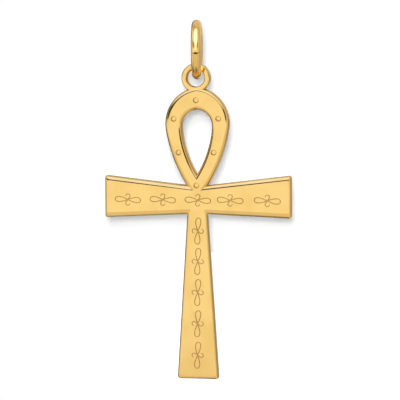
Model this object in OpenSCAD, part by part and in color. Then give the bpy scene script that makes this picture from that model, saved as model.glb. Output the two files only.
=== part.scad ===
// Ankh pendant: a flat cast plate with rounded rims, a flat eye soldered on its loop,
// and a round-wire jump ring through the eye.
// The pendant hangs upright: +Z up, the engraved front towards -Y.
// The origin is the inside top of the jump ring, where a chain bears.

/* [Jump ring] */
// Inside diameter of the jump ring
ring_inner_d = 4.1; // [3.6:0.1:5.4]
// Thickness of the jump ring's round wire
wire_d = 1.0; // [0.8:0.05:1.2]
// Width of the cut where the wire's ends meet
split_gap = 0.12; // [0.06:0.02:0.3]
// Place of the cut at the front, in degrees below the ring's centre
split_angle = 6; // [-40:1:40]
// Turn of the ring about the upright line, in degrees from square to the plate
ring_turn = 10; // [-20:1:20]

/* [Eye] */
// Diameter of the hole that the jump ring passes through
eye_hole_d = 1.8; // [1.6:0.05:2.2]
// Width of the metal round that hole
eye_band = 0.6; // [0.4:0.05:0.9]
// Thickness of the eye, a little less than the plate's
eye_t = 0.9; // [0.7:0.05:0.95]
// Radius that rounds the eye's edges
eye_edge_r = 0.14; // [0.05:0.01:0.2]
// Gap between the eye and the wire that it hangs on
hang_clearance = 0.06; // [0.05:0.01:0.15]

/* [Plate] */
// Thickness of the plate
plate_t = 1.0; // [1.0:0.05:1.6]
// Radius that rounds the plate's front edges
front_edge_r = 0.38; // [0.15:0.01:0.45]
// Radius that rounds the plate's back edges
back_edge_r = 0.14; // [0.05:0.01:0.25]

/* [Loop] */
// Greatest width of the loop
loop_w = 6.7; // [6.2:0.1:7.4]
// Height of the loop from its top to the crossbar's upper edge
loop_h = 10.2; // [9.6:0.1:11]
// Radius of the loop's upper arches
arch_r = 3.75; // [3.7:0.05:4.4]
// Radius of the loop's long lower sides
side_r = 15.2; // [13:0.1:18]
// Angle below the widest line at which the lower sides take over
side_start = 9; // [5:1:12]
// Metal left between the eye's hole and the loop's top
eye_web = 0.05; // [0.03:0.01:0.15]

/* [Teardrop opening] */
// Greatest width of the opening
drop_w = 3.3; // [2.8:0.1:3.7]
// Radius of the two arcs that meet at the opening's top
drop_arch_r = 1.75; // [1.75:0.05:2.2]
// Height of the opening from its top to its tip
drop_h = 6.65; // [6:0.05:7]
// Metal between the loop's top and the opening
drop_wall = 2.3; // [2:0.1:2.6]
// Angle below the widest line at which the opening's long sides take over
drop_side_start = 5; // [0:1:8]

/* [Crossbar] */
// Length of the crossbar from end to end
bar_len = 19.6; // [17:0.1:23]
// Height of the crossbar at its middle
bar_root_h = 2.8; // [2.4:0.1:3.4]
// Rise of the upper edge from the middle to each end
bar_rise = 1.15; // [0.4:0.05:1.6]
// Fall of the lower edge from the middle to each end
bar_fall = 0.45; // [0.2:0.05:1]

/* [Shaft] */
// Length of the shaft below the crossbar
shaft_len = 17.1; // [14:0.1:20]
// Width of the shaft at the crossbar
shaft_top_w = 2.1; // [1.8:0.1:2.8]
// Width of the shaft at its foot
shaft_foot_w = 4.25; // [3:0.05:5.5]

/* [Punched dots] */
// Diameter of each shallow dot
dot_d = 0.58; // [0.4:0.02:0.7]
// Depth of each dot
dot_depth = 0.06; // [0.03:0.01:0.1]
// Height of the upper pair of dots above the opening's widest line
dot_pair_rise = 0.7; // [0.2:0.05:1]
// Drop of the lower pair of dots below the opening's widest line
dot_pair_drop = 2.75; // [2:0.05:3.2]
// Drop of the lowest dot below the opening's tip
dot_tip_drop = 1.15; // [0.8:0.05:1.3]

/* [Hidden] */
$fn = 96;
GOLD = [0.96, 0.80, 0.49];
CUT = 1;          // how far a cutter reaches past what it cuts
SPAN = 60;        // reach of the bodies that the plate's outline is cut from
ROUND_STEPS = 3;  // flat steps of each rounded edge

// Jump ring, hanging from the origin
ring_mid_r = (ring_inner_d + wire_d) / 2;
ring_z = -ring_inner_d / 2;

// Eye, resting on the ring's lowest point
eye_hole_r = eye_hole_d / 2;
eye_r = eye_hole_r + eye_band;
eye_z = -ring_inner_d + hang_clearance - eye_hole_r;

// Levels of the plate, from the eye down to the foot
loop_top_z = eye_z - eye_hole_r - eye_web;
drop_top_z = loop_top_z - drop_wall;
drop_x = drop_w / 2 - drop_arch_r;
drop_z = drop_top_z - sqrt(drop_arch_r * drop_arch_r - drop_x * drop_x);
drop_tip_z = drop_top_z - drop_h;
bar_top_z = loop_top_z - loop_h;
bar_bottom_z = bar_top_z - bar_root_h;
bar_end_x = bar_len / 2;
foot_z = bar_bottom_z - shaft_len;

// Centres of the loop's arcs: each arch's centre lies past the midline
arch_x = loop_w / 2 - arch_r;
arch_z = loop_top_z - sqrt(arch_r * arch_r - arch_x * arch_x);

// Radius of the opening's long sides, which are tangent to its upper arcs and meet at its tip
drop_reach = drop_z - drop_tip_z;
drop_side_r = drop_arch_r
    + (drop_x * drop_x + drop_reach * drop_reach - drop_arch_r * drop_arch_r)
    / (2 * (drop_arch_r + drop_x * cos(drop_side_start) - drop_reach * sin(drop_side_start)));

// Half width, at level z, of an outline whose upper arc of radius r is centred at [cx, cz],
// and whose side arc of radius big_r takes over at the angle start below that centre
function half_width(z, cx, cz, r, big_r, start) =
    z > cz - r * sin(start)
    ? cx + sqrt(r * r - (z - cz) * (z - cz))
    : cx + (r - big_r) * cos(start)
        + sqrt(big_r * big_r - pow(z - cz + (r - big_r) * sin(start), 2));

// Middle of the loop's metal at level z, between its outline and the opening
function loop_middle(z) =
    (half_width(z, arch_x, arch_z, arch_r, side_r, side_start)
        + half_width(z, drop_x, drop_z, drop_arch_r, drop_side_r, drop_side_start)) / 2;

// Points of a rounded edge's section: a quarter turn of radius r about c, in flat steps
function edge_points(c, r, from) = [
    for (i = [0 : ROUND_STEPS])
        let (angle = from + 90 * i / ROUND_STEPS)
            c + r * [cos(angle), sin(angle)]
];

// Section of a plate through its rim at x = reach, with rounded front and back edges
module rim_section(reach, t, front_r, back_r) {
    polygon(concat(
        [[0, t / 2], [0, -t / 2]],
        edge_points([reach - back_r, back_r - t / 2], back_r, -90),
        edge_points([reach - front_r, t / 2 - front_r], front_r, 0)));
}

// Section of a hole of radius reach, flared where it meets the two faces
module hole_section(reach, t, front_r, back_r) {
    front = edge_points([reach + front_r, t / 2 - front_r], front_r, 90);
    back = edge_points([reach + back_r, back_r - t / 2], back_r, 180);
    polygon(concat(
        [[0, -t / 2 - CUT], [reach + back_r, -t / 2 - CUT]],
        [for (i = [ROUND_STEPS : -1 : 0]) back[i]],
        [for (i = [ROUND_STEPS : -1 : 0]) front[i]],
        [[reach + front_r, t / 2 + CUT], [0, t / 2 + CUT]]));
}

// Body turned from a section: a rimmed disc, or the cutter of a flared hole
module turned(reach, t, front_r, back_r, is_hole) {
    rotate_extrude()
        if (is_hole)
            hole_section(reach, t, front_r, back_r);
        else
            rim_section(reach, t, front_r, back_r);
}

// Right half of a body with two mirrored sides: an upper arc that runs on into a larger side arc
module arc_half(centre, r, big_r, start, is_hole) {
    intersection() {
        translate([centre.x, centre.y, 0])
            rotate(-start) {
                intersection() {
                    turned(r, plate_t, front_edge_r, back_edge_r, is_hole);
                    translate([-SPAN, 0, -SPAN])
                        cube([2 * SPAN, SPAN, 2 * SPAN]);
                }
                intersection() {
                    translate([r - big_r, 0, 0])
                        turned(big_r, plate_t, front_edge_r, back_edge_r, is_hole);
                    translate([-SPAN, -SPAN, -SPAN])
                        cube([2 * SPAN, SPAN, 2 * SPAN]);
                }
            }
        translate([0, -SPAN, -SPAN])
            cube([SPAN, 2 * SPAN, 2 * SPAN]);
    }
}

// Body with two mirrored arc sides, which meet in a point below
module arc_sided(centre, r, big_r, start, is_hole) {
    arc_half(centre, r, big_r, start, is_hole);
    mirror([1, 0, 0])
        arc_half(centre, r, big_r, start, is_hole);
}

// Half plate whose rim runs from one point to the next, with the metal on the right of that way
module rimmed_half(from, to) {
    way = to - from;
    translate([from.x, from.y, 0])
        rotate(atan2(way.y, way.x))
            translate([-SPAN, -SPAN, 0])
                rotate([90, 0, 90])
                    linear_extrude(height = 2 * SPAN)
                        rim_section(SPAN, plate_t, front_edge_r, back_edge_r);
}

// Metal inside an open run of straight rims
module rimmed(points) {
    intersection_for (i = [0 : len(points) - 2])
        rimmed_half(points[i], points[i + 1]);
}

// Loop of the ankh, without its opening
module loop_plate() {
    arc_sided([arch_x, arch_z], arch_r, side_r, side_start, false);
}

// Cutter of the teardrop opening
module drop_cutter() {
    arc_sided([drop_x, drop_z], drop_arch_r, drop_side_r, drop_side_start, true);
}

// One arm of the crossbar, from the midline to its flared end
module arm() {
    intersection() {
        rimmed([[0, bar_top_z], [bar_end_x, bar_top_z + bar_rise],
            [bar_end_x, bar_bottom_z - bar_fall], [0, bar_bottom_z]]);
        translate([0, -SPAN, -plate_t])
            cube([SPAN, SPAN, 2 * plate_t]);
    }
}

// Shaft, from the middle of the crossbar to its flared foot
module shaft() {
    spread = (shaft_foot_w - shaft_top_w) / 2 / shaft_len;
    head_z = (bar_top_z + bar_bottom_z) / 2;
    head_x = shaft_top_w / 2 - spread * (head_z - bar_bottom_z);
    foot_x = shaft_foot_w / 2;
    intersection() {
        rimmed([[head_x, head_z], [foot_x, foot_z], [-foot_x, foot_z], [-head_x, head_z]]);
        translate([-SPAN / 2, head_z - SPAN, -plate_t])
            cube([SPAN, SPAN, 2 * plate_t]);
    }
}

// Shallow dots punched into the front face
module dots() {
    ball_r = (dot_d * dot_d / 4 + dot_depth * dot_depth) / (2 * dot_depth);
    top_z = (eye_z - eye_r + drop_top_z) / 2;
    upper_z = drop_z + dot_pair_rise;
    lower_z = drop_z - dot_pair_drop;
    places = [
        [0, top_z],
        [loop_middle(upper_z), upper_z],
        [-loop_middle(upper_z), upper_z],
        [loop_middle(lower_z), lower_z],
        [-loop_middle(lower_z), lower_z],
        [0, drop_tip_z - dot_tip_drop],
    ];
    for (place = places)
        translate([place.x, place.y, plate_t / 2 + ball_r - dot_depth])
            sphere(r = ball_r);
}

// Plate lying on its back: its upright runs along Y and its front faces up
module flat_ankh() {
    difference() {
        union() {
            loop_plate();
            arm();
            mirror([1, 0, 0])
                arm();
            shaft();
            translate([0, eye_z, 0])
                turned(eye_r, eye_t, eye_edge_r, eye_edge_r, false);
        }
        drop_cutter();
        translate([0, eye_z, 0])
            turned(eye_hole_r, eye_t, eye_edge_r, eye_edge_r, true);
        dots();
    }
}

module ankh() {
    color(GOLD)
        rotate([90, 0, 0])
            flat_ankh();
}

module jump_ring() {
    color(GOLD)
        translate([0, 0, ring_z])
            rotate([0, 0, ring_turn])
                difference() {
                    rotate([0, 90, 0])
                        rotate_extrude()
                            translate([ring_mid_r, 0])
                                circle(d = wire_d);
                    rotate([split_angle, 0, 0])
                        translate([-wire_d, -ring_mid_r - wire_d, -split_gap / 2])
                            cube([2 * wire_d, 2 * wire_d, split_gap]);
                }
}

jump_ring();
ankh();
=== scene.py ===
"""Looks of a gold ankh pendant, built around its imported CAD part.

The plate and the jump ring are made again with smooth polished rims, engraved scrolls and
punched dots. Lengths are in millimetres until to_piece() puts a finished mesh into the scene.
"""

import bmesh
import bpy
import numpy as np
from mathutils import Matrix, Vector


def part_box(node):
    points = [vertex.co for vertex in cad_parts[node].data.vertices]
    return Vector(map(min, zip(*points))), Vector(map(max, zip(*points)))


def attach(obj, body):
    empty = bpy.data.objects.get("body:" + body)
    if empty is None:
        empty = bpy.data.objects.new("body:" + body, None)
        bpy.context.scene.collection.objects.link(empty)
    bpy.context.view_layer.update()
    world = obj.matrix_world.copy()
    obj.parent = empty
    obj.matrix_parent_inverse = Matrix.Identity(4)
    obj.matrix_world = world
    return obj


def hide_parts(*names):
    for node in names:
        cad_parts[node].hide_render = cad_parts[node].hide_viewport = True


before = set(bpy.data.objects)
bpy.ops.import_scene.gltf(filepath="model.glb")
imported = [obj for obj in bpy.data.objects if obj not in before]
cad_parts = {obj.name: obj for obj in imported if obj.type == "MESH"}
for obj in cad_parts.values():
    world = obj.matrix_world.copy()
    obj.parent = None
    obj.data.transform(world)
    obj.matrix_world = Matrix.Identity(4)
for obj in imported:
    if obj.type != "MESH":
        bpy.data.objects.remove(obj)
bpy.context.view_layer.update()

MM = 0.001

# Jump ring, from its CAD box: the origin is the inside top, where a chain bears
ring_low, ring_high = (np.array(corner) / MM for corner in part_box("jump_ring"))
WIRE_R = ring_high[2] / 2
RING_R = (ring_high[2] - ring_low[2]) / 2 - WIRE_R
RING_Z = ring_high[2] - WIRE_R - RING_R
RING_TURN = 10          # degrees from square to the plate
SEAM_ANGLE = -9         # degrees from the ring's centre line, at the front
SEAM_GAP = 0.20         # widest opening of the seam, at the outside
SEAM_HAIRLINE = 0.02    # opening of the seam elsewhere
SEAM_SPREAD = 24        # degrees round the wire over which the seam closes

# Plate
PLATE_T = 1.0
FRONT = -PLATE_T / 2
BACK_ROUND = 0.14
ROUND_STEPS = 10        # rows of faces round a front rim

# Eye
EYE_HOLE_R = 0.9
EYE_R = 1.5
EYE_T = 0.9
EYE_ROUND = 0.14
EYE_HOLE_ROUND = (0.14, 0.36)
EYE_X = -0.09           # the eye is soldered a little left of the middle
EYE_WEB = 0.05          # metal between the eye's hole and the loop's top
HANG_GAP = 0.06         # between the eye and the wire that it hangs on
EYE_Z = RING_Z - RING_R + WIRE_R + HANG_GAP - EYE_HOLE_R

# Levels and widths, from the CAD box down
ankh_low, ankh_high = (np.array(corner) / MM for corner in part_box("ankh"))
LOOP_TOP = EYE_Z - EYE_HOLE_R - EYE_WEB
FOOT_Z = ankh_low[2]
BAR_END_X = ankh_high[0]
LOOP_W = 6.7
LOOP_H = 10.2
LOOP_ARCH_R = 3.75
LOOP_SIDE_R = 15.2
LOOP_SIDE_START = 9     # degrees below the widest line at which the side arc takes over
DROP_W = 3.17
DROP_H = 6.65
DROP_WALL = 2.3         # metal between the loop's top and the teardrop
DROP_ARCH_R = 1.75
DROP_SIDE_START = 5
BAR_ROOT_H = 2.8
BAR_TOP = LOOP_TOP - LOOP_H
BAR_BOTTOM = BAR_TOP - BAR_ROOT_H
BAR_RISE = 1.15         # how much higher the bar's upper edge lies at its ends
BAR_FALL = 0.45         # how much lower its lower edge lies there
SHAFT_TOP_W = 2.1
SHAFT_FOOT_W = 4.33

# Rounding of the front edges: width across the face, and depth into the thickness
LOOP_ROUND = (0.42, 0.45)
LOOP_LEAN = -0.22       # the loop's rim is wider on its left by this share, and narrower on its right
DROP_ROUND = (0.35, 0.45)
BAR_ROUND = 0.52
END_ROUND = 0.32
SHAFT_ROUND = 0.32
LEFT_ROUND = 0.48       # the bar's left end and the shaft's left side are filed rounder
CROSS_DEPTH = 0.42
CORNER_R = 0.22         # radius of the cross's outward corners
CORNER_SHARPENS = 0.1   # how much smaller that radius gets up the front rim
NECK_R = 0.1            # radius where the shaft meets the bar
CORNER_STEPS = 9


def arc_sides(width, top, arch_r, side_r, start):
    """The two arcs of half an arc-sided outline: the upper one's centre and radius, the side one's
    radius, and the angle at which it takes over."""
    centre_x = width / 2 - arch_r
    centre_z = top - np.sqrt(arch_r ** 2 - centre_x ** 2)
    return centre_x, centre_z, arch_r, side_r, np.radians(start)


def drop_side_radius(arch_r, start):
    """Radius of the side arc that starts tangent to the upper arc and reaches the tip on the midline."""
    centre_x, s = DROP_W / 2 - arch_r, np.radians(start)
    reach = DROP_H - np.sqrt(arch_r ** 2 - centre_x ** 2)
    return arch_r + (centre_x ** 2 + reach ** 2 - arch_r ** 2) / (
        2 * (arch_r + centre_x * np.cos(s) - reach * np.sin(s)))


LOOP_ARCS = arc_sides(LOOP_W, LOOP_TOP, LOOP_ARCH_R, LOOP_SIDE_R, LOOP_SIDE_START)
DROP_ARCS = arc_sides(DROP_W, LOOP_TOP - DROP_WALL, DROP_ARCH_R,
                      drop_side_radius(DROP_ARCH_R, DROP_SIDE_START), DROP_SIDE_START)


def arc_outline(arcs, inset, steps=60):
    """Closed outline, clockwise from its top, that lies inset within an arc-sided one.

    The right half is x = cx + (r - inset) cos a, z = cz + (r - inset) sin a, from the midline to the
    angle -start, and then the same of the larger side arc from -start to the midline. The left half
    is its mirror image. inset is a column of values, one for each row of the grid that comes back.
    """
    cx, cz, r, big_r, start = arcs
    inset = np.atleast_1d(inset)[:, None]
    share = np.linspace(0, 1, steps)[None, :]
    small = r - inset
    top = np.arccos(-cx / small)
    angle = top + (-start - top) * share
    upper = np.stack([cx + small * np.cos(angle), cz + small * np.sin(angle)], -1)
    side_x, side_z = cx + (r - big_r) * np.cos(start), cz - (r - big_r) * np.sin(start)
    large = big_r - inset
    end = -np.arccos(-side_x / large)
    angle = -start + (end + start) * share[:, 1:]
    lower = np.stack([side_x + large * np.cos(angle), side_z + large * np.sin(angle)], -1)
    half = np.concatenate([upper, lower], 1)
    half[:, [0, -1], 0] = 0
    return np.concatenate([half, (half * [-1, 1])[:, -2:0:-1]], 1)


def leaned(outline, inset, lean):
    """Outline moved to the left by lean times its inset: x - lean inset."""
    return outline - np.array([lean, 0]) * inset[:, None, None]


def circle_outline(centre_z, radius, steps=96):
    """Closed circles about (0, centre_z), clockwise from the top, one row for each radius."""
    angle = np.pi / 2 - 2 * np.pi * np.arange(steps)[None, :] / steps
    radius = np.atleast_1d(radius)[:, None]
    return np.stack([radius * np.cos(angle), centre_z + radius * np.sin(angle)], -1)


def edge_round(width, depth, back, thickness):
    """Section of a rim from the back face round to the front: how far each point lies inside the
    outline, and its Y. Both ends are quarter ellipses, r (1 - sin a) in and r (1 - cos a) deep."""
    turn = np.linspace(0, np.pi / 2, ROUND_STEPS + 1)
    rear = np.stack([back * (1 - np.sin(turn)), thickness / 2 - back * (1 - np.cos(turn))], -1)
    turn = turn[::-1]
    fore = np.stack([width * (1 - np.sin(turn)), depth * (1 - np.cos(turn)) - thickness / 2], -1)
    return np.concatenate([rear[::2], fore]).T


def with_depth(outline, y):
    """Rows of (x, z) points and one y for each row, as rows of (x, y, z) points."""
    y = np.broadcast_to(np.asarray(y)[:, None], outline.shape[:2])
    return np.stack([outline[..., 0], y, outline[..., 1]], -1)


def grid_faces(rows, columns, wrap_rows=True, wrap_columns=True):
    """Corner numbers of the quads between neighbouring rows and columns of a grid."""
    row = np.arange(rows if wrap_rows else rows - 1)[:, None]
    column = np.arange(columns if wrap_columns else columns - 1)[None, :]
    below, beside = (row + 1) % rows, (column + 1) % columns
    corners = [row * columns + column, row * columns + beside,
               below * columns + beside, below * columns + column]
    return np.stack(np.broadcast_arrays(*corners), -1).reshape(-1, 4)


def solid(name, points, faces, material=None):
    """Object of a closed mesh: doubles merged, and its faces turned outwards."""
    mesh = bpy.data.meshes.new(name)
    mesh.from_pydata(np.asarray(points).reshape(-1, 3).tolist(), [], [list(f) for f in faces])
    if material is not None:
        mesh.materials.append(material)
    clean(mesh, 1e-5)
    made = bpy.data.objects.new(name, mesh)
    bpy.context.scene.collection.objects.link(made)
    return made


def clean(mesh, distance):
    """Merges points closer than distance, and turns every face outwards."""
    work = bmesh.new()
    work.from_mesh(mesh)
    bmesh.ops.remove_doubles(work, verts=work.verts, dist=distance)
    bmesh.ops.dissolve_degenerate(work, edges=work.edges, dist=distance)
    bmesh.ops.recalc_face_normals(work, faces=work.faces)
    work.to_mesh(mesh)
    work.free()


def rimmed_band(name, outer, hole, outer_edge, hole_edge, thickness):
    """Flat ring between two outlines: out over the outer rim from back to front, across the face,
    and back over the hole's rim. outer and hole give the outline at an inset."""
    inset, y = edge_round(*outer_edge, thickness)
    hole_inset, hole_y = edge_round(*hole_edge, thickness)
    rows = np.concatenate([with_depth(outer(inset), y),
                           with_depth(hole(hole_inset), hole_y)[::-1]])
    return solid(name, rows, grid_faces(*rows.shape[:2]), plate_gold)


def cross_body():
    """Crossbar and shaft as one polygon with rounded corners and rims.

    Each edge has its own rim width w, so a row of the rim at share f lies w f inside that edge. A corner
    is where its two edges then meet, and its arc is corner + s rho (m + n(a)): m is the inward mitre,
    n(a) turns from one edge's normal to the next, rho is the corner's radius, and s is 1 at an outward
    corner and -1 at an inward one.
    """
    spread = (SHAFT_FOOT_W - SHAFT_TOP_W) / 2 / (BAR_BOTTOM - FOOT_Z)
    fall = BAR_FALL / BAR_END_X
    neck_x = SHAFT_TOP_W / 2 / (1 - spread * fall)
    right = np.array([[BAR_END_X, BAR_TOP + BAR_RISE], [BAR_END_X, BAR_BOTTOM - BAR_FALL],
                      [neck_x, BAR_BOTTOM - fall * neck_x], [SHAFT_FOOT_W / 2, FOOT_Z]])
    corners = np.concatenate([[[0, BAR_TOP]], right, (right * [-1, 1])[::-1]])
    widths = np.array([BAR_ROUND, END_ROUND, BAR_ROUND, SHAFT_ROUND, SHAFT_ROUND,
                       LEFT_ROUND, BAR_ROUND, LEFT_ROUND, BAR_ROUND])
    along = np.roll(corners, -1, 0) - corners
    along /= np.linalg.norm(along, axis=1)[:, None]
    after = np.stack([-along[:, 1], along[:, 0]], -1)   # outward normal of the edge after each corner
    before = np.roll(after, 1, 0)
    turn = before[:, 0] * after[:, 1] - before[:, 1] * after[:, 0]
    bend = np.where(turn < 0, 1.0, -1.0)
    pair = np.stack([before, after], 1)
    mitre = np.linalg.solve(pair, -np.ones((len(corners), 2, 1)))[..., 0]

    inset, y = edge_round(1, CROSS_DEPTH, BACK_ROUND, PLATE_T)
    rear = len(inset) - ROUND_STEPS - 1
    is_front = np.arange(len(inset)) >= rear
    reach = np.where(is_front[:, None], inset[:, None] * widths[None, :], inset[:, None])
    reach = np.stack([np.roll(reach, 1, 1), reach], -1)
    meet = corners + np.linalg.solve(pair[None], -reach[..., None])[..., 0]
    rho = np.where(bend > 0, CORNER_R - CORNER_SHARPENS * np.minimum(inset[:, None], 1) * is_front[:, None],
                   NECK_R * (1 + inset[:, None]))
    start = np.arctan2(before[:, 1], before[:, 0])
    swing = np.arctan2(turn, (before * after).sum(1))
    angle = start[:, None] + swing[:, None] * np.linspace(0, 1, CORNER_STEPS)[None, :]
    normal = np.stack([np.cos(angle), np.sin(angle)], -1)
    arc = meet[:, :, None] + (bend * rho)[:, :, None, None] * (mitre[:, None] + normal)[None]
    rows = with_depth(arc.reshape(len(y), -1, 2), y)
    count = rows.shape[1]
    faces = grid_faces(len(y), count, wrap_rows=False).tolist()
    faces.append(list(range(count)))
    faces.append(list(range((len(y) - 1) * count, len(y) * count)))
    return solid("cross", rows, faces, plate_gold)


# Engraved scrolls: a lying figure of eight crossed by a stroke with two curled ends
SCROLL_LINE_R = 0.046
SCROLL_SINK = 0.004     # how far the cutter's middle stays in front of the face
EIGHT_REACH = 1.35
EIGHT_RISE = 0.272
EIGHT_TILT = -3.2
CURL_R = 0.222
CURL_TURN = 222         # degrees that each end curls round
CURL_STEM = 0.295
CURL_HEADING = 52
STROKE_TAPER = 0.45     # share by which the stroke thins at its very ends
SCROLL_ACROSS = ((-7.29, -17.48), (-3.57, -17.47), (0.13, -17.51), (3.52, -17.50), (7.38, -17.53))
SCROLL_DOWN = ((0.12, -20.68), (0.10, -23.82), (0.08, -27.03), (0.06, -30.26), (0.04, -33.52))

# Faint creases where the loop's two sides run into the bar, each from its upper to its lower end
CREASE_R = 0.03
CREASES = (((-1.04, -15.88), (-0.52, -16.50)),
           ((0.88, -15.88), (0.50, -16.50)))

# Punched dots
DOT_R = 0.25
DOT_GROOVE = 0.050
DOT_DEEPENS = 0.030     # how much the groove's radius grows towards the side where the punch leaned
DOT_LEAN = 225          # degrees round the dot to that side, counter-clockwise from the right
DOTS = ((-0.03, -7.25), (-2.37, -9.14), (2.32, -9.14), (-1.87, -12.6), (1.82, -12.6), (0.0, -15.98))


def turned(points, degrees):
    """(x, z) points turned counter-clockwise about the origin."""
    c, s = np.cos(np.radians(degrees)), np.sin(np.radians(degrees))
    return points @ np.array([[c, s], [-s, c]])


def eight_path(steps=180):
    """Closed figure of eight: x = reach sin t, z = rise sin 2t, tilted a little."""
    t = 2 * np.pi * (np.arange(steps) + 0.5) / steps
    return turned(np.stack([EIGHT_REACH * np.sin(t), EIGHT_RISE * np.sin(2 * t)], -1), EIGHT_TILT)


def curl_path(steps=46):
    """Stroke through the middle with a curl at each end: its heading is constant along the stem and
    then turns evenly, and the second half is the first turned half round."""
    turn = np.radians(CURL_TURN)
    length = CURL_STEM + CURL_R * turn
    s = (np.arange(steps) + 0.5) * length / steps
    heading = np.radians(CURL_HEADING) + np.clip((s - CURL_STEM) / CURL_R, 0, None)
    step = np.stack([np.cos(heading), np.sin(heading)], -1) * length / steps
    half = np.cumsum(step, 0)
    return np.concatenate([-half[::-1], [[0, 0]], half])


def tube(path, radius, y, closed, sides=12):
    """Round profile carried along an (x, z) path at depth y: P + r (cos a N + sin a Y)."""
    ahead = np.roll(path, -1, 0) - np.roll(path, 1, 0)
    if not closed:
        ahead[0], ahead[-1] = path[1] - path[0], path[-1] - path[-2]
    ahead /= np.linalg.norm(ahead, axis=1)[:, None]
    normal = np.stack([-ahead[:, 1], ahead[:, 0]], -1)
    angle = 2 * np.pi * (np.arange(sides) + 0.5) / sides
    radius = np.broadcast_to(radius, len(path))[:, None, None]
    flat = path[:, None] + radius * np.cos(angle)[None, :, None] * normal[:, None]
    rows = np.stack([flat[..., 0], y + (radius[..., 0] * np.sin(angle)), flat[..., 1]], -1)
    faces = grid_faces(len(path), sides, wrap_rows=closed).tolist()
    if not closed:
        faces.append(list(range(sides)))
        faces.append(list(range((len(path) - 1) * sides, len(path) * sides)))
    return rows.reshape(-1, 3), faces


def gather(parts):
    """Several (points, faces) as one, with the faces' numbers moved on."""
    points, faces, base = [], [], 0
    for some, quads in parts:
        points.append(some)
        faces += [[base + corner for corner in face] for face in quads]
        base += len(some)
    return np.concatenate(points), faces


def scroll_cutter():
    """Cutter of the ten scrolls, and of the two faint creases below the loop."""
    y = FRONT - SCROLL_SINK
    curl = curl_path()
    ends = np.linspace(-1, 1, len(curl))
    taper = SCROLL_LINE_R * (1 - STROKE_TAPER * np.abs(ends) ** 6)
    parts = []
    for places, angle in ((SCROLL_ACROSS, 0), (SCROLL_DOWN, 90)):
        for place in places:
            parts.append(tube(turned(eight_path(), angle) + place, SCROLL_LINE_R, y, True))
            parts.append(tube(turned(curl, angle) + place, taper, y, False))
    share = np.linspace(0, 1, 9)[:, None]
    for start, end in CREASES:
        parts.append(tube(np.array(start) * (1 - share) + np.array(end) * share, CREASE_R, y, False))
    # Its faces give the cut grooves and creases the gold with painted shade
    return solid("scroll_cutter", *gather(parts), engraved_gold_painted_shade)


def dot_cutter():
    """Cutter of the dots, each a fine round groove that is deepest at its lower left, where the punch
    leaned: the groove's radius is r = mean + swing cos (a - lean) round the dot."""
    turn = 2 * np.pi * np.arange(32) / 32
    circle = np.stack([np.cos(turn), np.sin(turn)], -1) * DOT_R
    groove = DOT_GROOVE + DOT_DEEPENS * np.cos(turn - np.radians(DOT_LEAN))
    parts = [tube(circle + place, groove, FRONT - SCROLL_SINK, True) for place in DOTS]
    # Its faces give the dots' grooves the gold with painted shade
    return solid("dot_cutter", *gather(parts), engraved_gold_painted_shade)


def combine(base, tool, operation, crossing=False):
    """base joined with tool, or cut by it. The tool's own object is used up."""
    step = base.modifiers.new(operation, "BOOLEAN")
    step.operation = operation
    step.object = tool
    step.solver = "EXACT"
    step.material_mode = "TRANSFER"
    step.use_self = crossing
    graph = bpy.context.evaluated_depsgraph_get()
    mesh = bpy.data.meshes.new_from_object(base.evaluated_get(graph))
    base.modifiers.clear()
    base.data = mesh
    bpy.data.objects.remove(tool)
    return base


PLATE_CREASE = 26       # degrees between faces above which an edge stays sharp
RING_CREASE = 40
FLAT_REACH = 2e-4       # how near to a flat face's level a corner counts as on it
FLAT_SLOPE = 25         # and how many degrees its normal may lean


def finished(mesh, crease, flats):
    """Smooth shading that keeps creases sharper than crease degrees, and keeps the faces at the levels
    in flats dead flat: a corner on a flat face's border takes the flat face's normal."""
    mesh.shade_smooth()
    mesh.set_sharp_from_angle(angle=np.radians(crease))
    corners = np.zeros(len(mesh.loops) * 3, np.float32)
    mesh.corner_normals.foreach_get("vector", corners)
    corners = corners.reshape(-1, 3)
    vertex = np.zeros(len(mesh.loops), np.int32)
    mesh.loops.foreach_get("vertex_index", vertex)
    places = np.zeros(len(mesh.vertices) * 3, np.float32)
    mesh.vertices.foreach_get("co", places)
    depth = places.reshape(-1, 3)[:, 1]
    for level in flats:
        facing = np.array([0, np.sign(level), 0], np.float32)
        near = np.abs(depth[vertex] - level) < FLAT_REACH
        upright = corners @ facing > np.cos(np.radians(FLAT_SLOPE))
        corners[near & upright] = facing
    mesh.normals_split_custom_set(corners.tolist())


def to_piece(made, name, body, node):
    """Puts a mesh made in millimetres into the scene as a piece of the pendant."""
    made.name = made.data.name = name
    places = np.zeros(len(made.data.vertices) * 3, np.float32)
    made.data.vertices.foreach_get("co", places)
    made.data.vertices.foreach_set("co", places * MM)
    made.data.update()
    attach(made, body)
    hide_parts(node)
    return made


# Shaders

class Wire:
    """One output of a shader node. Arithmetic between wires, or with a number, adds Math nodes."""

    def __init__(self, shade, socket):
        self.shade = shade
        self.socket = socket

    def math(self, operation, *values):
        """Math node on the values, which are wires or numbers."""
        return self.shade.node("ShaderNodeMath", {"operation": operation}, dict(enumerate(values)))

    def __add__(self, other):
        return self.math("ADD", self, other)

    def __sub__(self, other):
        return self.math("SUBTRACT", self, other)

    def __rsub__(self, other):
        return self.math("SUBTRACT", other, self)

    def __mul__(self, other):
        return self.math("MULTIPLY", self, other)

    __radd__ = __add__
    __rmul__ = __mul__


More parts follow.
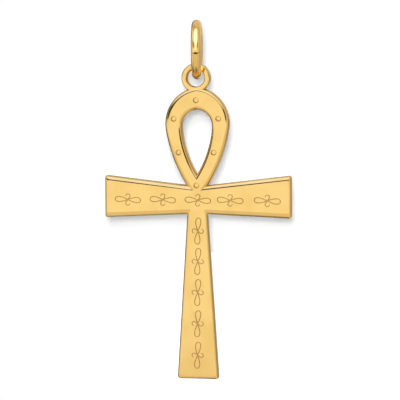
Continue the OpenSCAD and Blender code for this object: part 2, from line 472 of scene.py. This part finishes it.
class Shade:
    """A node tree in the making. Every node gets into it through node()."""

    def __init__(self, owner):
        owner.use_nodes = True
        self.tree = owner.node_tree
        self.tree.nodes.clear()

    def node(self, kind, settings=None, values=None, output=0):
        """Adds a node: its settings first, then its inputs, which are values or wires."""
        made = self.tree.nodes.new(kind)
        for name, value in (settings or {}).items():
            setattr(made, name, value)
        for name, value in (values or {}).items():
            if isinstance(value, Wire):
                self.tree.links.new(value.socket, made.inputs[name])
            else:
                made.inputs[name].default_value = value
        return Wire(self, made.outputs[output]) if len(made.outputs) else made

    def noise(self, where, scale, detail=2.0, roughness=0.5):
        """Noise of so many waves a metre."""
        return self.node("ShaderNodeTexNoise", None, {
            "Vector": where, "Scale": scale, "Detail": detail, "Roughness": roughness})

    def ramp(self, value, low, high):
        """Smooth step of value between low and high, from 0 to 1."""
        return self.node("ShaderNodeMapRange", {"interpolation_type": "SMOOTHSTEP"}, {
            "Value": value, "From Min": low, "From Max": high})

    def blend(self, factor, first, second):
        """Colour between first and second."""
        return self.node("ShaderNodeMix", {"data_type": "RGBA"}, {0: factor, 6: first, 7: second}, 2)


# Painted shade: the dark brown that the sides are blended towards, standing in for the dark that they mirror
PAINTED_SIDE_SHADE = (0.46, 0.27, 0.075, 1)


def gold(name, light, deep, roughness, bump, side=0.0):
    """Polished gold: two tones that drift slowly, a polish that varies, and fine rubbing lines. side is
    how much painted shade darkens the sawn sides, where the normal turns away from front and back, and
    how much duller they are."""
    material = bpy.data.materials.new(name)
    shade = Shade(material)
    where = shade.node("ShaderNodeTexCoord", output=3)
    cloud = shade.noise(where, 420, 3)
    stretched = shade.node("ShaderNodeMapping", None, {"Vector": where, "Scale": (9000, 9000, 900)})
    lines = shade.noise(stretched, 1.0, 4, 0.6)
    fine = shade.noise(where, 6000)
    drift = shade.ramp(cloud, 0.35, 0.7)
    tone = shade.blend(drift, light, deep)
    normal = shade.node("ShaderNodeTexCoord", output=1)
    facing = shade.node("ShaderNodeSeparateXYZ", None, {0: normal}, 1)
    # Painted shade on the sides: the base colour darkens where the normal turns away from front and back
    sides = side * (1 - shade.ramp(facing * facing, 0.04, 0.45))
    shader = shade.node("ShaderNodeBsdfPrincipled", None, {
        "Base Color": shade.blend(sides, tone, PAINTED_SIDE_SHADE),
        "Metallic": 1.0,
        "Roughness": roughness + 0.05 * drift + 0.05 * shade.ramp(lines, 0.5, 0.8) + 0.12 * sides,
        "Normal": shade.node("ShaderNodeBump", None, {
            "Strength": bump, "Distance": 2e-5, "Height": 0.7 * lines + 0.3 * fine}),
    })
    shade.node("ShaderNodeOutputMaterial", None, {"Surface": shader})
    return material


# The plate's sides get painted shade, 0.55 of the way to the dark side colour
plate_gold = gold("polished plate gold", (0.975, 0.665, 0.230, 1), (0.955, 0.635, 0.205, 1), 0.11, 0.10, 0.55)
ring_gold = gold("drawn wire gold", (0.970, 0.655, 0.225, 1), (0.945, 0.610, 0.195, 1), 0.17, 0.12)
# The grooves' darker colour is painted shade in the recesses; their duller polish is real roughness
engraved_gold_painted_shade = gold("engraved gold with painted shade", (0.760, 0.500, 0.165, 1), (0.680, 0.440, 0.140, 1), 0.36, 0.20)


# Plate
loop = rimmed_band("loop", lambda inset: leaned(arc_outline(LOOP_ARCS, inset), inset, LOOP_LEAN),
                   lambda inset: arc_outline(DROP_ARCS, -inset),
                   (*LOOP_ROUND, BACK_ROUND), (*DROP_ROUND, BACK_ROUND), PLATE_T)
eye = rimmed_band("eye", lambda inset: circle_outline(EYE_Z, EYE_R - inset) + [EYE_X, 0],
                  lambda inset: circle_outline(EYE_Z, EYE_HOLE_R + inset) + [EYE_X, 0],
                  (EYE_ROUND, 2 * EYE_ROUND, EYE_ROUND), (*EYE_HOLE_ROUND, EYE_ROUND), EYE_T)
plate = combine(loop, cross_body(), "UNION")
plate = combine(plate, eye, "UNION")
plate = combine(plate, dot_cutter(), "DIFFERENCE")
plate = combine(plate, scroll_cutter(), "DIFFERENCE", crossing=True)
clean(plate.data, 1e-4)
finished(plate.data, PLATE_CREASE, (FRONT, -FRONT, -EYE_T / 2, EYE_T / 2))
to_piece(plate, "ankh_plate", "ankh", "ankh")


def wire_ring(around=150, sides=40):
    """Jump ring: a torus cut at its seam. Round the wire, each end face steps back from the seam's
    middle by a hairline, and by more at the outside, exp(-(a / spread)^2), so that a small pit shows."""
    a = 2 * np.pi * np.arange(sides) / sides
    signed = (a + np.pi) % (2 * np.pi) - np.pi
    bump = np.exp(-(signed / np.radians(SEAM_SPREAD)) ** 2)
    half = (SEAM_HAIRLINE + (SEAM_GAP - SEAM_HAIRLINE) * bump) / 2 / (RING_R + WIRE_R)
    share = np.linspace(0, 1, around)[:, None]
    place = half + (2 * np.pi - 2 * half) * share
    radius = np.broadcast_to(WIRE_R, place.shape)
    shell = ring_point(place, a, radius)
    inner = np.linspace(1, 0, 5)[1:, None]
    flat = SEAM_HAIRLINE / 2 / (RING_R + WIRE_R)
    near = flat + (half - flat) * inner ** 0.7
    rows = np.concatenate([ring_point(near[::-1], a, WIRE_R * inner[::-1]), shell,
                           ring_point(2 * np.pi - near, a, WIRE_R * inner)])
    return solid("jump_ring_wire", rows, grid_faces(*rows.shape[:2], wrap_rows=False), ring_gold)


def ring_point(place, a, radius):
    """Points of the ring: place is the angle along it from the seam, a the angle round the wire from
    its outside, and radius the distance from the wire's middle."""
    along = np.radians(SEAM_ANGLE) + place
    reach = RING_R + radius * np.cos(a)
    out, up = reach * np.cos(along), reach * np.sin(along)
    side = radius * np.sin(a) * np.ones_like(out)
    turn = np.radians(RING_TURN)
    forward = np.array([np.sin(turn), -np.cos(turn), 0])
    across = np.array([np.cos(turn), np.sin(turn), 0])
    return (out[..., None] * forward + side[..., None] * across + up[..., None] * [0, 0, 1]
            + [0, 0, RING_Z])


ring = wire_ring()
finished(ring.data, RING_CREASE, ())
jump_ring = to_piece(ring, "jump_ring_wire", "jump_ring", "jump_ring")


# Camera at the photograph's viewing angle
VIEW_TURN = 12.5        # degrees round to the right of the pendant
VIEW_RISE = 2.8         # degrees above the pendant's own level
VIEW_ROLL = 0.25        # degrees that the picture is turned counter-clockwise
PIXEL = 0.103           # millimetres of the plate for each pixel of the 400 px picture
PICTURE = 400
DISTANCE = 1750 * PIXEL
SENSOR = 36
RING_TOP = 1.0
MIDDLE = np.array([0, 0, (ankh_low[2] + RING_TOP) / 2])
MIDDLE_AT = (197.6, 199.9)   # column and row of the picture where that point lies

turn, rise, roll = np.radians([VIEW_TURN, VIEW_RISE, VIEW_ROLL])
back = np.array([np.sin(turn) * np.cos(rise), -np.cos(turn) * np.cos(rise), np.sin(rise)])
level = np.array([np.cos(turn), np.sin(turn), 0])
above = np.cross(back, level)
right = level * np.cos(roll) - above * np.sin(roll)
up = above * np.cos(roll) + level * np.sin(roll)
aim = (MIDDLE + right * (PICTURE / 2 - MIDDLE_AT[0]) * PIXEL
       - up * (PICTURE / 2 - MIDDLE_AT[1]) * PIXEL)
camera_data = bpy.data.cameras.new("camera")
camera_data.sensor_width = SENSOR
camera_data.lens = SENSOR * DISTANCE / (PICTURE * PIXEL)
camera_data.clip_start = 0.01
camera_data.clip_end = 5
camera = bpy.data.objects.new("camera", camera_data)
bpy.context.scene.collection.objects.link(camera)
camera.location = Vector((aim + back * DISTANCE) * MM)
camera.rotation_euler = Matrix((right, up, back)).transposed().to_euler()
bpy.context.scene.camera = camera


# Studio: pale wall and floor, soft key light, and a sky of soft boxes that the gold mirrors
def panel(name, corners, material):
    """Flat four-cornered panel of the stage, which the gold doesn't mirror."""
    mesh = bpy.data.meshes.new(name)
    mesh.from_pydata((np.array(corners) * MM).tolist(), [], [(0, 1, 2, 3)])
    mesh.materials.append(material)
    made = bpy.data.objects.new(name, mesh)
    bpy.context.scene.collection.objects.link(made)
    made.visible_glossy = False


PAINT_DRIFT = 0.005


def pale_paint(name, grey, glow):
    """Matt white that drifts a little, glows a little, and can't be seen from behind."""
    material = bpy.data.materials.new(name)
    shade = Shade(material)
    where = shade.node("ShaderNodeTexCoord", output=3)
    low, high = grey - PAINT_DRIFT, grey + PAINT_DRIFT
    tone = shade.blend(shade.noise(where, 4), (low, low, low, 1), (high, high, high, 1))
    matt = shade.node("ShaderNodeAddShader", None, {
        0: shade.node("ShaderNodeBsdfDiffuse", None, {"Color": tone}),
        1: shade.node("ShaderNodeEmission", None, {"Strength": glow})})
    shader = shade.node("ShaderNodeMixShader", None, {
        0: shade.node("ShaderNodeNewGeometry", output=6), 1: matt,
        2: shade.node("ShaderNodeBsdfTransparent")})
    shade.node("ShaderNodeOutputMaterial", None, {"Surface": shader})
    return material


# A wall behind, out of the plate's way as it swings, a slope down from it, and the floor in front
FLOOR_Z = -38.5
WALL_Y = 38
WALL_FOOT = -26
SLOPE_FOOT = 4
SIDE = 540
WALL_TOP = 200


def strip_across(name, near, far, material):
    """Panel as wide as the studio between two (y, z) lines."""
    panel(name, [(-SIDE, *near), (SIDE, *near), (SIDE, *far), (-SIDE, *far)], material)


strip_across("wall", (WALL_Y, WALL_FOOT), (WALL_Y, WALL_TOP), pale_paint("wall white", 0.90, 0.0))
strip_across("slope", (SLOPE_FOOT, FLOOR_Z), (WALL_Y, WALL_FOOT), pale_paint("slope white", 0.90, 0.62))
strip_across("floor", (-SIDE, FLOOR_Z), (SLOPE_FOOT, FLOOR_Z), pale_paint("floor white", 0.88, 0.46))

AMBIENT = 0.14          # light on the wall and the floor from all round


def studio_sky():
    """World light by direction, in degrees of azimuth from the front and of height above the camera's
    own level. Only what the gold mirrors sees the pattern; the matt paint gets an even grey, and the
    camera plain white."""
    world = bpy.data.worlds.new("studio")
    bpy.context.scene.world = world
    shade = Shade(world)
    way = shade.node("ShaderNodeTexCoord")
    apart = shade.node("ShaderNodeSeparateXYZ", None, {0: way})
    parts = apart.socket.node.outputs
    x, y, z = (Wire(shade, parts[i]) for i in range(3))
    azimuth = x.math("ARCTAN2", x, y * -1.0) * (180 / np.pi)
    height = z.math("ARCSINE", z) * (180 / np.pi) + VIEW_RISE

    def window(value, low, high, blur):
        rise = shade.ramp(value, low - blur, low + blur)
        return rise * (1 - shade.ramp(value, high - blur, high + blur))

    # The box in front, which the flat face mirrors, and the dark slots over it, for the upper rims
    front = shade.ramp(azimuth, -118, -42) * (1 - shade.ramp(azimuth, 50, 74))
    box = front * window(height, -5.9, 8, 1.5)
    gap = window(azimuth, -24, -6, 4) * window(height, 9.5, 24, 1.5)
    left_gap = window(azimuth, -72, -24, 4) * window(height, 6.5, 32, 1.5)
    slant = height - 0.5 * (azimuth + VIEW_TURN)
    low_gap = window(azimuth, 0, 52, 4) * shade.ramp(height, 4, 6) * (1 - shade.ramp(slant, 0, 2))
    gap = gap.math("MAXIMUM", gap.math("MAXIMUM", gap, left_gap), low_gap)

    # Above and below them, and the right-hand side, for the tops, undersides and right ends
    over = window(azimuth, -78, 55, 20) * shade.ramp(height, 24, 30) * (1 - shade.ramp(height, 74, 84))
    low = front * (1 - shade.ramp(height, -8, -4))
    under = 1 - shade.ramp(height, -80, -64)
    right_side = window(azimuth, 66, 112, 8)

    # Behind, pale for the plain back, with dark bands that draw the outlines and the sawn sides
    behind = 1 - window(azimuth, -125, 130, 8)
    beneath = window(azimuth, -176, -148, 4) * (1 - shade.ramp(height, -14, -5))
    left_back = shade.ramp(azimuth, -176, -168) - shade.ramp(azimuth, -106, -82)
    left_back = left_back * window(height, -9, 28, 5)
    left_low = window(azimuth, -128, -100, 4) * window(height, -62, 28, 6)
    left_back = left_back.math("MAXIMUM", left_back, left_low)
    right_back = window(azimuth, 116, 174, 4) * window(height, -10, 8, 4)

    colour = (0.45, 0.44, 0.42, 1)
    for share, tint in ((behind, (0.78, 0.76, 0.72)), (right_back, (0.45, 0.43, 0.39)),
                        (low, (0.80, 0.76, 0.68)), (right_side, (0.72, 0.69, 0.62)),
                        (left_back, (0.12, 0.12, 0.12)), (beneath, (0.15, 0.14, 0.13)),
                        (under, (0.14, 0.13, 0.12)), (box, (1.03, 1.03, 1.05)),
                        (gap, (0.02, 0.02, 0.02)), (over, (1.02, 1.14, 1.7))):
        colour = shade.blend(share, colour, (*tint, 1))
    mirrored = shade.node("ShaderNodeLightPath", output=3)
    colour = shade.blend(mirrored, (AMBIENT, AMBIENT, AMBIENT, 1), colour)
    seen = shade.node("ShaderNodeLightPath")
    colour = shade.blend(seen, colour, (1.0, 1.0, 1.0, 1))
    lit = shade.node("ShaderNodeBackground", None, {"Color": colour, "Strength": 1.0})
    shade.node("ShaderNodeOutputWorld", None, {"Surface": lit})


studio_sky()


def soft_light(name, azimuth, height, distance, size, watts):
    """Area light that faces the pendant's middle and isn't mirrored in the gold."""
    data = bpy.data.lights.new(name, "AREA")
    data.shape = "RECTANGLE"
    data.size, data.size_y = size[0] * MM, size[1] * MM
    data.energy = watts
    made = bpy.data.objects.new(name, data)
    bpy.context.scene.collection.objects.link(made)
    a, e = np.radians(azimuth), np.radians(height)
    towards = np.array([np.sin(a) * np.cos(e), -np.cos(a) * np.cos(e), np.sin(e)])
    made.location = Vector((aim + towards * distance) * MM)
    made.rotation_euler = Vector(-towards).to_track_quat("-Z", "Y").to_euler()
    made.visible_glossy = False
    made.visible_camera = False
    return made


def key_panel(name, across, low, high, watts):
    """Small soft light just above the camera, facing as it does: across is its width, and low and high
    are its heights above the camera. It casts the narrow shadows on the wall."""
    key = soft_light(name, 0, 0, DISTANCE, (across, high - low), watts)
    key.location = Vector((aim + back * DISTANCE + up * (low + high) / 2 - right * KEY_LEFT) * MM)
    key.rotation_euler = camera.rotation_euler


KEY_LEFT = 1.1          # how far left of the camera both keys are
key_panel("low key", 4.3, 0.9, 3.8, 0.194)
key_panel("high key", 4.3, 3.7, 11.8, 0.113)

# Strips that light the ring alone, for the streak down its wire and the glints beside it
strips = [soft_light("ring strip", 10, 42, 300, (320, 540), 0.72),
          soft_light("ring side strip", -47, 17, 300, (250, 190), 0.052),
          soft_light("ring edge strip", -100, 10, 300, (210, 420), 0.13)]
ring_only = bpy.data.collections.new("ring only")
ring_only.objects.link(jump_ring)
for strip in strips:
    strip.visible_glossy = True
    strip.light_linking.receiver_collection = ring_only

bpy.context.scene.view_settings.view_transform = "Standard"
